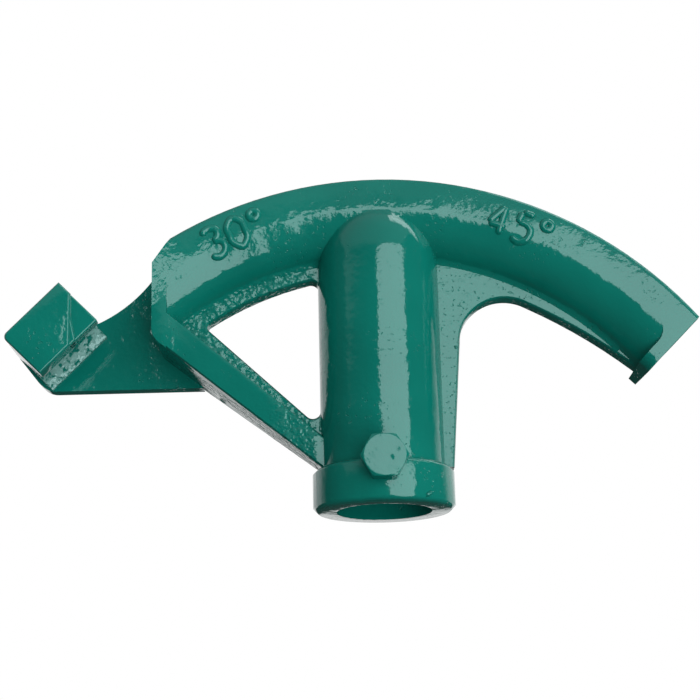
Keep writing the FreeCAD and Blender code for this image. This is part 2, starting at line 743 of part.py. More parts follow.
def check(document, bodies):
    """Stop if any object failed, or if a sub-part isn't one valid closed solid."""
    document.recompute()
    failed = [item.Name for item in document.Objects if {"Invalid", "Error"} & set(item.State)]
    if failed:
        raise RuntimeError(f"failed features: {failed}")
    for body in bodies:
        shape = body.Shape
        if shape.isNull() or not shape.isValid() or len(shape.Solids) != 1:
            raise RuntimeError(f"{body.Label} isn't one valid solid")
        box = shape.BoundBox
        print(f"{body.Label}: {shape.Volume / 1000:.1f} cm3, "
              f"x {box.XMin:.1f} to {box.XMax:.1f}, y {box.YMin:.1f} to {box.YMax:.1f}, "
              f"z {box.ZMin:.1f} to {box.ZMax:.1f}")


def main():
    document = FreeCAD.newDocument("pipe_bender")
    size = fill_sheet(document)
    derive(size)
    bodies = [make_head(document, size), make_bolt(document, size)]
    check(document, bodies)
    os.makedirs("parts", exist_ok=True)
    for body in bodies:
        body.Shape.exportStep(f"parts/{body.Label}.step")


main()
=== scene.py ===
"""Looks of a cast pipe bender head: glossy enamel over a rough casting, two marks and a set bolt.

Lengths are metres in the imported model's frame: the origin is the centre of the socket's mouth, +Z
runs up the socket, +X along the shoe away from the hook, and the set bolt is on the -Y side.
"""

import json
import logging
import math
from dataclasses import dataclass
from enum import Enum
from functools import reduce
from operator import mul
from typing import Any, Union

import bmesh
import bpy
import numpy as np
from mathutils import Matrix, Vector

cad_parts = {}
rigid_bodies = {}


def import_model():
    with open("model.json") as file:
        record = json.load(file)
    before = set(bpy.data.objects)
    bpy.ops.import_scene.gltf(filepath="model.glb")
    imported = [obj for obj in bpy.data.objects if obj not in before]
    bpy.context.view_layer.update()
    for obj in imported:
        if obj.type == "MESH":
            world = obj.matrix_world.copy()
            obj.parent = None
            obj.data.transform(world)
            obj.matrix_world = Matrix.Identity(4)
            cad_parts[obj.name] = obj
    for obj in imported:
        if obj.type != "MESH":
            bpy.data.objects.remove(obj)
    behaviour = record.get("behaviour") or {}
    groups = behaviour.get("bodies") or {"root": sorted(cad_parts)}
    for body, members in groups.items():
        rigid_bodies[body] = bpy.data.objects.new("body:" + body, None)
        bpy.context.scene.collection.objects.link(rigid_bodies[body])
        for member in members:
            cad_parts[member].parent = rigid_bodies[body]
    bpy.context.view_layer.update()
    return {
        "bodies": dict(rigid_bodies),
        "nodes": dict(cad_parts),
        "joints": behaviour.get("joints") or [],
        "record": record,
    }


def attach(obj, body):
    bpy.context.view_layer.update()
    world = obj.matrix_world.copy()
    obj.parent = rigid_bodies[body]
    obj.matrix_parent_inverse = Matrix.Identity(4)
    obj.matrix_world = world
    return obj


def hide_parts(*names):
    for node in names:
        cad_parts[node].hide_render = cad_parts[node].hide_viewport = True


LOG = logging.getLogger("pipe_bender")
MM = 0.001
SOFT_ANGLE = math.radians(50.0)
MERGE_DISTANCE = 0.001 * MM
HEAD_BODY = "head"
BOLT_BODY = "bolt"

Slot = Union[int, str]
Term = Union["Wire", float]
Pair = tuple[float, float]
Triple = tuple[float, float, float]
Colour = Triple


@dataclass(frozen=True)
class ShoeShape:
    """Sizes of the shoe, the hook, the brace and the web that the scene follows, in metres.

    The brace nears the web by its taper for each metre from its start, and the rough part of the
    web widens by its spread.
    """

    centre_drop: float = 20.8 * MM
    bend_radius: float = 110.5 * MM
    half_width: float = 13.0 * MM
    groove_radius: float = 8.3 * MM
    hook_slope: float = math.radians(45.0)
    far_lean: float = math.radians(45.0)
    brace_start: float = -62.6 * MM
    brace_taper: float = 0.158
    web_start: float = -44.0 * MM
    web_spread: float = 0.26

    def front(self, angle: np.ndarray, radius: np.ndarray) -> np.ndarray:
        """Place points on the shoe's front.

        The front is flat over the bend radius. Under it, it is a half circle about the bend
        radius, so its depth is the square root of half width squared less the drop squared.

        Args:
            angle: Angles from the socket's axis, positive toward +X.
            radius: Distances from the bend's centre.

        Returns:
            Points with x, y and z in the last axis.
        """
        drop = np.clip(self.bend_radius - radius, 0.0, self.half_width * 0.98)
        depth = np.sqrt(self.half_width**2 - drop**2)
        return np.stack(
            (radius * np.sin(angle), -depth, radius * np.cos(angle) - self.centre_drop), axis=-1
        )

    def on_hook(self, rise: np.ndarray, run: np.ndarray, depth: np.ndarray) -> np.ndarray:
        """Place points by their rise off the bend's centre and their run along the held conduit.

        The run's direction climbs at the hook's slope, and the rise is square to it: x is the run
        times the cosine less the rise times the sine, and z the rise times the cosine plus the
        run times the sine, less the centre's drop.

        Args:
            rise: Distances off the bend's centre, square to the conduit.
            run: Distances along the conduit, negative toward the hook's outer end.
            depth: Places along Y.

        Returns:
            Points with x, y and z in the last axis.
        """
        lean, level = math.sin(self.hook_slope), math.cos(self.hook_slope)
        rise, run, depth = np.broadcast_arrays(rise, run, depth)
        return np.stack(
            (run * level - rise * lean, depth, rise * level + run * lean - self.centre_drop),
            axis=-1,
        )


class Wire:
    """A shader socket whose sums, products and comparisons add Math nodes to its tree."""

    def __init__(self, tree: bpy.types.NodeTree, node: bpy.types.Node, output: Slot = 0) -> None:
        """Wrap an output of a node."""
        self.tree = tree
        self.node = node
        self.output = output

    @property
    def socket(self) -> bpy.types.NodeSocket:
        """The socket that links start from."""
        return self.node.outputs[self.output]

    def pick(self, output: Slot) -> "Wire":
        """Another output of the same node."""
        return Wire(self.tree, self.node, output)

    def _math(self, operation: str, *values: Term) -> "Wire":
        """Add one Math node for an operation on values or sockets."""
        node = self.tree.nodes.new("ShaderNodeMath")
        node.operation = operation
        for slot, value in zip(node.inputs, values):
            if isinstance(value, Wire):
                self.tree.links.new(value.socket, slot)
            else:
                slot.default_value = float(value)
        return Wire(self.tree, node)

    def __add__(self, other: Term) -> "Wire":
        """Sum."""
        return self._math("ADD", self, other)

    def __radd__(self, other: float) -> "Wire":
        """Sum with a number first."""
        return self._math("ADD", other, self)

    def __sub__(self, other: Term) -> "Wire":
        """Difference."""
        return self._math("SUBTRACT", self, other)

    def __rsub__(self, other: float) -> "Wire":
        """Difference with a number first."""
        return self._math("SUBTRACT", other, self)

    def __mul__(self, other: Term) -> "Wire":
        """Product."""
        return self._math("MULTIPLY", self, other)

    def __truediv__(self, other: Term) -> "Wire":
        """Quotient."""
        return self._math("DIVIDE", self, other)

    def __abs__(self) -> "Wire":
        """Size without sign."""
        return self._math("ABSOLUTE", self)

    def most(self, other: Term) -> "Wire":
        """The larger of two values."""
        return self._math("MAXIMUM", self, other)

    def root(self) -> "Wire":
        """Square root."""
        return self._math("SQRT", self)

    def ramp(self, start: float, end: float) -> "Wire":
        """A smooth step from 0 at start to 1 at end; start may be the larger."""
        flip = start > end
        low, high = (end, start) if flip else (start, end)
        node = self.tree.nodes.new("ShaderNodeMapRange")
        node.interpolation_type = "SMOOTHSTEP"
        self.tree.links.new(self.socket, node.inputs["Value"])
        node.inputs["From Min"].default_value = low
        node.inputs["From Max"].default_value = high
        node.inputs["To Min"].default_value = 1.0 if flip else 0.0
        node.inputs["To Max"].default_value = 0.0 if flip else 1.0
        return Wire(self.tree, node)


class Recipe:
    """A node tree being written: every node that isn't plain maths comes from its add method."""

    def __init__(self, tree: bpy.types.NodeTree) -> None:
        """Start from an empty tree."""
        self.tree = tree
        tree.nodes.clear()

    def add(
        self,
        kind: str,
        settings: dict[str, Any] | None = None,
        inputs: dict[Slot, Any] | None = None,
        output: Slot = 0,
    ) -> Wire:
        """Add a node, set its settings first and then its sockets.

        Args:
            kind: The node's type.
            settings: Attributes such as a noise's dimensions.
            inputs: Values or wires by socket name or index.
            output: The output socket to return.

        Returns:
            The chosen output.
        """
        node = self.tree.nodes.new(kind)
        for name, value in (settings or {}).items():
            setattr(node, name, value)
        for name, value in (inputs or {}).items():
            if isinstance(value, Wire):
                self.tree.links.new(value.socket, node.inputs[name])
            else:
                node.inputs[name].default_value = value
        return Wire(self.tree, node, output)

    def mix_colour(self, share: Wire, first: Any, second: Any) -> Wire:
        """Mix two colours by a share of the second."""
        return self.add(
            "ShaderNodeMix",
            {"data_type": "RGBA"},
            {0: share, 6: self._colour(first), 7: self._colour(second)},
            output=2,
        )

    def dot(self, vector: Wire, along: Vector) -> Wire:
        """How far a vector reaches along a fixed direction."""
        return self.add(
            "ShaderNodeVectorMath",
            {"operation": "DOT_PRODUCT"},
            {0: vector, 1: tuple(along)},
            output="Value",
        )

    @staticmethod
    def _colour(value: Any) -> Any:
        """A colour with its alpha, or a wire as it is."""
        return value if isinstance(value, Wire) else (*value, 1.0)


@dataclass(frozen=True)
class Limit:
    """A smooth edge of a zone: a measure's name, and where the zone is 0 and where it is 1."""

    measure: str
    outside: float
    inside: float


class Zone(Enum):
    """Zones of the casting, each where all of its limits are met. Lengths in metres."""

    PLAIN_WEB = (Limit("x", 17.0 * MM, 20.0 * MM), Limit("side", 4.4 * MM, 3.8 * MM))
    COARSE_WEB = (
        Limit("x", -66.0 * MM, -62.0 * MM),
        Limit("x", -18.6 * MM, -20.2 * MM),
        Limit("off_web", 6.4 * MM, 3.2 * MM),
        Limit("z", 12.5 * MM, 14.5 * MM),
        Limit("radius", 98.5 * MM, 97.0 * MM),
    )
    SADDLE = (
        Limit("climb", 132.0 * MM, 135.0 * MM),
        Limit("climb", 151.0 * MM, 147.0 * MM),
        Limit("side", 8.0 * MM, 7.4 * MM),
        Limit("x", -74.0 * MM, -76.0 * MM),
    )
    BRACE_FACE = (
        Limit("off_brace", 0.5 * MM, 0.3 * MM),
        Limit("x", -62.4 * MM, -58.0 * MM),
        Limit("x", -18.5 * MM, -20.5 * MM),
        Limit("radius", 97.4 * MM, 96.8 * MM),
    )
    RIM = (
        Limit("side", 12.6 * MM, 12.9 * MM),
        Limit("x", -62.0 * MM, -60.0 * MM),
        Limit("radius", 117.9 * MM, 118.7 * MM),
    )
    RIM_EDGE = (
        Limit("y", -11.6 * MM, -12.2 * MM),
        Limit("x", -62.0 * MM, -60.0 * MM),
        Limit("radius", 118.9 * MM, 119.2 * MM),
    )
    FAR_END = (Limit("side", 12.6 * MM, 12.9 * MM), Limit("reach", 12.4 * MM, 13.0 * MM))
    FAR_END_EDGE = (Limit("y", -8.0 * MM, -10.0 * MM), Limit("reach", 13.45 * MM, 13.65 * MM))
    OVER_GROOVE = (
        Limit("side", 12.6 * MM, 12.9 * MM),
        Limit("x", -69.0 * MM, -68.0 * MM),
        Limit("x", -44.0 * MM, -58.0 * MM),
        Limit("radius", 104.0 * MM, 106.0 * MM),
    )
    UNDER_GROOVE = (
        Limit("side", 12.6 * MM, 12.9 * MM),
        Limit("x", -69.0 * MM, -68.0 * MM),
        Limit("x", -44.0 * MM, -58.0 * MM),
        Limit("radius", 105.6 * MM, 104.4 * MM),
    )
    UNDER_ARM = (Limit("x", -54.0 * MM, -58.0 * MM), Limit("upward", -0.90, -0.99))
    UNDER_FAR_END = (
        Limit("x", 50.0 * MM, 56.0 * MM),
        Limit("radius", 98.6 * MM, 97.8 * MM),
        Limit("upward", -0.3, -0.6),
    )
    UNDER_WEB = (
        Limit("side", 3.3 * MM, 3.1 * MM),
        Limit("x", -50.0 * MM, -46.0 * MM),
        Limit("radius", 82.0 * MM, 86.0 * MM),
        Limit("radius", 98.6 * MM, 97.8 * MM),
        Limit("upward", -0.3, -0.6),
    )
    UNDER_BRACE = (
        Limit("x", -64.0 * MM, -62.0 * MM),
        Limit("x", -17.0 * MM, -20.0 * MM),
        Limit("radius", 97.8 * MM, 97.0 * MM),
        Limit("upward", -0.5, -0.7),
    )


@dataclass(frozen=True)
class Turns:
    """How far normals of length 1 are turned in the casting's zones, before they are made 1 again.

    The brace's turn is along X, the edge's out of the rim and the far end, the two of the groove
    along X, the underside's along Y and Z, and the front's along Y. The brace's underside takes
    its share of the underside's.
    """

    brace: float = -0.30
    edge: float = 0.34
    over_groove: float = 0.048
    under_groove: float = -0.15
    under: float = -0.16
    brace_share: float = 0.35
    front: float = -0.80


class Surface:
    """What a material measures on the casting, in metres, and the zones that this bounds."""

    def __init__(self, recipe: Recipe, place: Wire, shoe: ShoeShape) -> None:
        """Work out every measure once.

        The side is the distance from the middle plane, the drop the height over the bend's
        centre, and the radius the distance from that centre. The reach is how far a point lies
        from it the way that the far end faces, and the climb grows along the hook's slope. The
        two off measures are distances from the brace's face, which nears the middle plane by its
        taper, and from the rough part of the web, which widens toward the socket. The upward
        measure is the normal's rise.

        Args:
            recipe: The material's node tree.
            place: The point on the surface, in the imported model's frame.
            shoe: Sizes of the shoe, the brace and the web.
        """
        split = recipe.add("ShaderNodeSeparateXYZ", inputs={"Vector": place})
        x, y, z = (split.pick(name) for name in "XYZ")
        side = abs(y)
        drop = z + shoe.centre_drop
        self.recipe = recipe
        self.shoe = shoe
        self.normal = recipe.add("ShaderNodeNewGeometry", output="Normal")
        self.measures = {
            "x": x,
            "y": y,
            "z": z,
            "side": side,
            "drop": drop,
            "radius": (x * x + drop * drop).root(),
            "reach": x * math.cos(shoe.far_lean) - drop * math.sin(shoe.far_lean),
            "climb": z - x,
            "off_brace": abs(side + (x - shoe.brace_start) * shoe.brace_taper - shoe.half_width),
            "off_web": side - (x - shoe.web_start).most(0.0) * shoe.web_spread,
            "upward": recipe.add("ShaderNodeSeparateXYZ", inputs={0: self.normal}, output="Z"),
        }

    def within(self, zone: Zone) -> Wire:
        """1 inside a zone and 0 outside, smooth over its limits."""
        ramps = (self.measures[edge.measure].ramp(edge.outside, edge.inside) for edge in zone.value)
        return reduce(mul, ramps)

    def drafted(self, turns: Turns) -> Wire:
        """The surface's normal, turned as a mould's draft and eased edges turn it.

        It is turned toward the hook on the brace's two faces. Along the shoe's rim it is turned
        away from the bend's centre, and along the far end out of that end. At the hook's end of
        the shoe the flat leans one way over the groove's line and the other way under it. The
        undersides are turned a little down and forward, and the outermost edges of rim and end
        forward.
        """
        x, drop, radius = (self.measures[name] for name in ("x", "drop", "radius"))
        lean = self.shoe.far_lean
        rim = self.within(Zone.RIM) * turns.edge
        far_end = self.within(Zone.FAR_END) * turns.edge
        groove = (
            self.within(Zone.OVER_GROOVE) * turns.over_groove
            + self.within(Zone.UNDER_GROOVE) * turns.under_groove
        )
        brace = self.within(Zone.BRACE_FACE) * turns.brace
        edges = self.within(Zone.RIM_EDGE).most(self.within(Zone.FAR_END_EDGE)) * turns.front
        under = (
            self.within(Zone.UNDER_FAR_END)
            .most(self.within(Zone.UNDER_WEB))
            .most(self.within(Zone.UNDER_BRACE) * turns.brace_share)
        )
        lift = self.recipe.add(
            "ShaderNodeCombineXYZ",
            inputs={
                "X": rim * x / radius + far_end * math.cos(lean) + groove + brace,
                "Y": (self.within(Zone.UNDER_ARM) + under) * turns.under + edges,
                "Z": rim * drop / radius - far_end * math.sin(lean) + under * turns.under,
            },
        )
        turned = self.recipe.add(
            "ShaderNodeVectorMath", {"operation": "ADD"}, {0: self.normal, 1: lift}
        )
        return self.recipe.add("ShaderNodeVectorMath", {"operation": "NORMALIZE"}, {0: turned})


@dataclass(frozen=True)
class Enamel:
    """Glossy green enamel over a rough iron casting.

    Lengths in metres, colours linear. A span says where noise of 0 to 1 starts to count and where
    it counts in full. The swell and the peel are the coat's waves, the flow its thickness, the
    pits holes in it, which come in patches, and the grain is the rough iron under it. The pale
    grey-green on the hook's saddle, in patches, is a painted reflection of that bright strip.
    """

    name: str = "green_enamel"
    thin_coat: Colour = (0.0028, 0.152, 0.118)
    thick_coat: Colour = (0.0020, 0.128, 0.100)
    dust: Colour = (0.050, 0.200, 0.170)
    # painted reflection: a pale grey-green painted on the hook's saddle strip in place of its
    # bright reflection
    painted_reflection: Colour = (0.190, 0.370, 0.345)
    tint: Colour = (0.76, 1.0, 1.0)
    refraction: float = 1.54
    roughness: float = 0.070
    swell_size: float = 7.5 * MM
    swell_height: float = 0.20 * MM
    flow_size: float = 30.0 * MM
    flow_span: Pair = (0.30, 0.72)
    peel_size: float = 1.9 * MM
    peel_height: float = 0.068 * MM
    peel_roughness: float = 0.04
    peel_span: Pair = (0.60, 0.80)
    pit_size: float = 0.95 * MM
    pit_depth: float = 0.13 * MM
    pit_roughness: float = 0.10
    pit_span: Pair = (0.66, 0.73)
    patch_size: float = 14.0 * MM
    patch_span: Pair = (0.54, 0.68)
    grain_size: float = 1.7 * MM
    grain_height: float = 0.21 * MM
    grain_roughness: float = 0.05
    grain_span: Pair = (0.30, 0.68)
    dust_span: Pair = (0.58, 0.74)
    dust_share: float = 0.35
    painted_reflection_span: Pair = (0.40, 0.52)
    painted_reflection_share: float = 0.80
    turns: Turns = Turns()
    shoe: ShoeShape = ShoeShape()

    def build(self, on_casting: bool = True) -> bpy.types.Material:
        """Write the enamel's nodes.

        Args:
            on_casting: Whether the piece has the casting's zones, which are coarse, drafted or
                carry
            the painted reflection.

        Returns:
            The material.
        """
        material = bpy.data.materials.new(self.name if on_casting else self.name + "_small")
        material.use_nodes = True
        recipe = Recipe(material.node_tree)
        place = recipe.add("ShaderNodeTexCoord", output="Object")
        swell = self._noise(recipe, place, self.swell_size, detail=1.0)
        peel = self._noise(recipe, place, self.peel_size, detail=2.0)
        flow = self._noise(recipe, place, self.flow_size, detail=2.0)
        specks = self._noise(recipe, place, self.pit_size, detail=1.0).ramp(*self.pit_span)
        patches = self._noise(recipe, place, self.patch_size, detail=1.0).ramp(*self.patch_span)
        colour = recipe.mix_colour(flow.ramp(*self.flow_span), self.thick_coat, self.thin_coat)
        height = swell * self.swell_height + peel * self.peel_height
        roughness = self.roughness + peel.ramp(*self.peel_span) * self.peel_roughness
        bump: dict[Slot, Any] = {"Distance": 1.0}
        if on_casting:
            surface = Surface(recipe, place, self.shoe)
            saddle = surface.within(Zone.SADDLE)
            coarse = surface.within(Zone.COARSE_WEB).most(saddle)
            grain = self._noise(recipe, place, self.grain_size, detail=1.5)
            dusty = coarse * grain.ramp(*self.dust_span) * self.dust_share
            # painted reflection: patches of pale grey-green on the saddle stand in for the bright
            # reflection of that strip
            saddle_reflection_share = saddle * peel.ramp(*self.painted_reflection_span) * self.painted_reflection_share
            colour = recipe.mix_colour(dusty, colour, self.dust)
            colour = recipe.mix_colour(saddle_reflection_share, colour, self.painted_reflection)
            height = height + coarse * grain.ramp(*self.grain_span) * self.grain_height
            roughness = roughness + coarse * self.grain_roughness
            patches = patches.most(surface.within(Zone.PLAIN_WEB))
            bump["Normal"] = surface.drafted(self.turns)
        pits = specks * patches
        bump["Height"] = height - pits * self.pit_depth
        shader = recipe.add(
            "ShaderNodeBsdfPrincipled",
            inputs={
                "Base Color": colour,
                "Roughness": roughness + pits * self.pit_roughness,
                "Normal": recipe.add("ShaderNodeBump", inputs=bump),
                "IOR": self.refraction,
                "Specular Tint": (*self.tint, 1.0),
            },
        )
        recipe.add("ShaderNodeOutputMaterial", inputs={"Surface": shader})
        return material

    @staticmethod
    def _noise(recipe: Recipe, place: Wire, size: float, detail: float) -> Wire:
        """Noise whose features are about one size across."""
        return recipe.add(
            "ShaderNodeTexNoise",
            {"noise_dimensions": "3D"},
            {"Vector": place, "Scale": 1.0 / size, "Detail": detail, "Roughness": 0.5},
        )


@dataclass(frozen=True)
class Shot:
    """Where the photograph was taken from: metres and degrees, lens in millimetres."""

    aim: Triple = (-8.94 * MM, 0.0, 49.17 * MM)
    distance: float = 486.96 * MM
    lift: float = 15.295
    roll: float = 1.38
    lens: float = 83.6
    sensor: float = 36.0
    clip: Pair = (0.02, 50.0)


@dataclass(frozen=True)
class Lamp:
    """A rectangular lamp, in metres and watts."""

    name: str
    place: Triple
    width: float
    height: float
    power: float
    target: Triple = (0.0, 0.0, 0.05)


FILLS = (
    Lamp("fill_left", (-0.9, -0.8, 0.45), 0.9, 0.9, 2.5),
    Lamp("fill_right", (1.05, -0.40, 0.40), 0.8, 0.8, 4.4),
    Lamp("fill_low", (0.15, -1.05, -0.60), 0.8, 0.6, 2.9),
)


@dataclass(frozen=True)
class Panel:
    """A bright four-sided panel in the sky, measured on a plane one unit away in its own direction.

    The left and right edges are given as their place at the middle and their slope, so that an
    edge lies at the place plus the slope times the height. Angles in degrees. The panel counts
    only in directions that reach ahead along its own.
    """

    azimuth: float
    elevation: float
    left: Pair
    right: Pair
    bottom: float
    top: float
    level: float
    softness: float
    ahead: Pair = (0.05, 0.12)

    def glow(self, recipe: Recipe, way: Wire) -> Wire:
        """The panel's brightness in a direction.

        Args:
            recipe: The world's node tree.
            way: The direction, of length 1.

        Returns:
            The level inside the panel, fading to 0 over its edges.
        """
        turn, lift = math.radians(self.azimuth), math.radians(self.elevation)
        run = math.cos(lift)
        toward = Vector((math.sin(turn) * run, -math.cos(turn) * run, math.sin(lift)))
        beside = Vector((math.cos(turn), math.sin(turn), 0.0))
        depth = recipe.dot(way, toward)
        scale = depth.most(self.ahead[0])
        x = recipe.dot(way, beside) / scale
        y = recipe.dot(way, toward.cross(beside)) / scale
        soft = self.softness
        inside = (
            (x - y * self.left[1]).ramp(self.left[0] - soft, self.left[0] + soft)
            * (x - y * self.right[1]).ramp(self.right[0] + soft, self.right[0] - soft)
            * y.ramp(self.bottom - soft, self.bottom + soft)
            * y.ramp(self.top + soft, self.top - soft)
            * depth.ramp(*self.ahead)
        )
        return inside * self.level


@dataclass(frozen=True)
class Sky:
    """Strengths of the studio round the object, where 1 is white, and its panels."""

    backdrop: float = 1.0
    room: float = 0.05
    backdrop_edge: Pair = (0.25, 0.65)
    backdrop_foot: Pair = (-0.190, -0.162)
    backdrop_head: Pair = (0.72, 0.42)
    panels: tuple[Panel, ...] = (
        Panel(26.0, -10.0, (-0.34, -0.492), (0.42, 0.158), -0.63, 0.625, 3.7, 0.015),
        Panel(18.0, 18.0, (-0.19, 0.0), (0.25, 0.0), -0.10, 0.12, 3.7, 0.015),
        Panel(106.0, 54.0, (-0.27, 0.0), (0.34, 0.0), -0.45, 0.40, 4.0, 0.05),
        Panel(-10.0, 48.0, (-1.35, 0.0), (1.35, 0.0), -0.47, 1.6, 0.42, 0.10),
    )


class Pavilion:
    """Camera, lamps, floor and sky of the photograph."""

    def __init__(self) -> None:
        """Remember the scene that everything goes into."""
        self.scene = bpy.context.scene

    def add_camera(self, shot: Shot) -> None:
        """Add the camera that stands where the photograph was taken from.

        It looks along +Y and up by the lift, and rolls about the way that it looks.
        """
        data = bpy.data.cameras.new("photograph")
        data.lens = shot.lens
        data.sensor_width = shot.sensor
        camera = bpy.data.objects.new("photograph", data)
        lift, roll = math.radians(shot.lift), math.radians(shot.roll)
        forward = Vector((0.0, math.cos(lift), math.sin(lift)))
        upward = Vector((0.0, -math.sin(lift), math.cos(lift)))
        right = Vector((1.0, 0.0, 0.0))
        turned_right = right * math.cos(roll) - upward * math.sin(roll)
        turned_up = upward * math.cos(roll) + right * math.sin(roll)
        frame = Matrix((turned_right, turned_up, -forward)).transposed().to_4x4()
        frame.translation = Vector(shot.aim) - forward * shot.distance
        camera.matrix_world = frame
        data.clip_start, data.clip_end = shot.clip
        self.scene.collection.objects.link(camera)
        self.scene.camera = camera

    def add_lamp(self, lamp: Lamp) -> None:
        """Add one soft rectangular lamp that faces its target and shows in no reflection."""
        data = bpy.data.lights.new(lamp.name, "AREA")
        data.shape = "RECTANGLE"
        data.size, data.size_y = lamp.width, lamp.height
        data.energy = lamp.power
        item = bpy.data.objects.new(lamp.name, data)
        place, target = Vector(lamp.place), Vector(lamp.target)
        item.location = place
        turn = (target - place).to_track_quat("-Z", "Y")
        item.rotation_euler = turn.to_euler()
        item.visible_camera = False
        item.visible_glossy = False
        self.scene.collection.objects.link(item)

    def add_floor(self, level: float, half: float) -> None:
        """Add the pale floor, which a camera under it looks through."""
        mesh = bpy.data.meshes.new("floor")
        around = ((-half, -half), (half, -half), (half, half), (-half, half))
        corners = [(x, y, level) for x, y in around]
        mesh.from_pydata(corners, [], [(0, 1, 2, 3)])
        floor = bpy.data.objects.new("floor", mesh)
        floor.data.materials.append(self._floor_finish())
        self.scene.collection.objects.link(floor)

    @staticmethod
    def _floor_finish() -> bpy.types.Material:
        """White paper for the camera over it, which lets every other ray through."""
        material = bpy.data.materials.new("floor_paper")
        material.use_nodes = True
        recipe = Recipe(material.node_tree)
        paper = recipe.add("ShaderNodeBsdfDiffuse", inputs={"Color": (0.95, 0.95, 0.95, 1.0)})
        clear = recipe.add("ShaderNodeBsdfTransparent")
        camera = recipe.add("ShaderNodeLightPath", output="Is Camera Ray")
        under = recipe.add("ShaderNodeNewGeometry", output="Backfacing")
        whole = recipe.add(
            "ShaderNodeMixShader", inputs={0: camera * (1 - under), 1: clear, 2: paper}
        )
        recipe.add("ShaderNodeOutputMaterial", inputs={"Surface": whole})
        return material

    def set_sky(self, sky: Sky) -> None:
        """Write the world: white to the camera, and the studio's panels to everything else."""
        world = bpy.data.worlds.new("studio")
        world.use_nodes = True
        self.scene.world = world
        recipe = Recipe(world.node_tree)
        way = recipe.add("ShaderNodeTexCoord", output="Generated")
        parts = recipe.add("ShaderNodeSeparateXYZ", inputs={"Vector": way})
        behind, height = parts.pick("Y"), parts.pick("Z")
        studio = (
            behind.ramp(*sky.backdrop_edge)
            * height.ramp(*sky.backdrop_foot)
            * height.ramp(*sky.backdrop_head)
            * sky.backdrop
        )
        for panel in sky.panels:
            studio = studio.most(panel.glow(recipe, way))
        camera = recipe.add("ShaderNodeLightPath", output="Is Camera Ray")
        strength = camera + (1 - camera) * studio.most(sky.room)
        shade = recipe.add(
            "ShaderNodeBackground", inputs={"Color": (1.0, 1.0, 1.0, 1.0), "Strength": strength}
        )
        recipe.add("ShaderNodeOutputWorld", inputs={"Surface": shade})


@dataclass(frozen=True)
class Stroke:
    """One stroke of a raised mark on a grid of height 1: points of a smooth or straight path."""

    points: tuple[Pair, ...]
    smooth: bool = True

    @property
    def closed(self) -> bool:
        """Whether the path comes back to its start."""
        return self.points[0] == self.points[-1]


class Glyph(Enum):
    """Strokes of the plain numerals and signs that are cast on the shoe."""

    ZERO = (
        Stroke(
            (
                (0.0, 0.5), (0.02, 0.78), (0.27, 1.0), (0.52, 0.78), (0.54, 0.5),
                (0.52, 0.22), (0.27, 0.0), (0.02, 0.22), (0.0, 0.5),
            )
        ),
    )
    THREE = (
        Stroke(
            (
                (0.02, 0.84), (0.12, 0.97), (0.28, 1.0), (0.46, 0.92),
                (0.49, 0.75), (0.40, 0.60), (0.22, 0.54),
            )
        ),
        Stroke(
            (
                (0.22, 0.54), (0.44, 0.48), (0.54, 0.30), (0.47, 0.10),
                (0.28, 0.0), (0.10, 0.04), (0.0, 0.17),
            )
        ),
    )
    FOUR = (
        Stroke(((0.42, 0.0), (0.42, 1.0)), smooth=False),
        Stroke(((0.42, 1.0), (0.0, 0.32)), smooth=False),
        Stroke(((0.0, 0.32), (0.60, 0.32)), smooth=False),
    )
    FIVE = (
        Stroke(((0.50, 1.0), (0.10, 1.0)), smooth=False),
        Stroke(((0.10, 1.0), (0.06, 0.58)), smooth=False),
        Stroke(
            (
                (0.06, 0.58), (0.18, 0.64), (0.34, 0.63), (0.50, 0.52), (0.55, 0.32),
                (0.47, 0.10), (0.28, 0.0), (0.10, 0.03), (0.0, 0.14),
            )
        ),
    )
    DEGREE = (
        Stroke(
            (
                (0.0, 0.86), (0.04, 0.96), (0.14, 1.0), (0.24, 0.96), (0.28, 0.86),
                (0.24, 0.76), (0.14, 0.72), (0.04, 0.76), (0.0, 0.86),
            )
        ),
    )


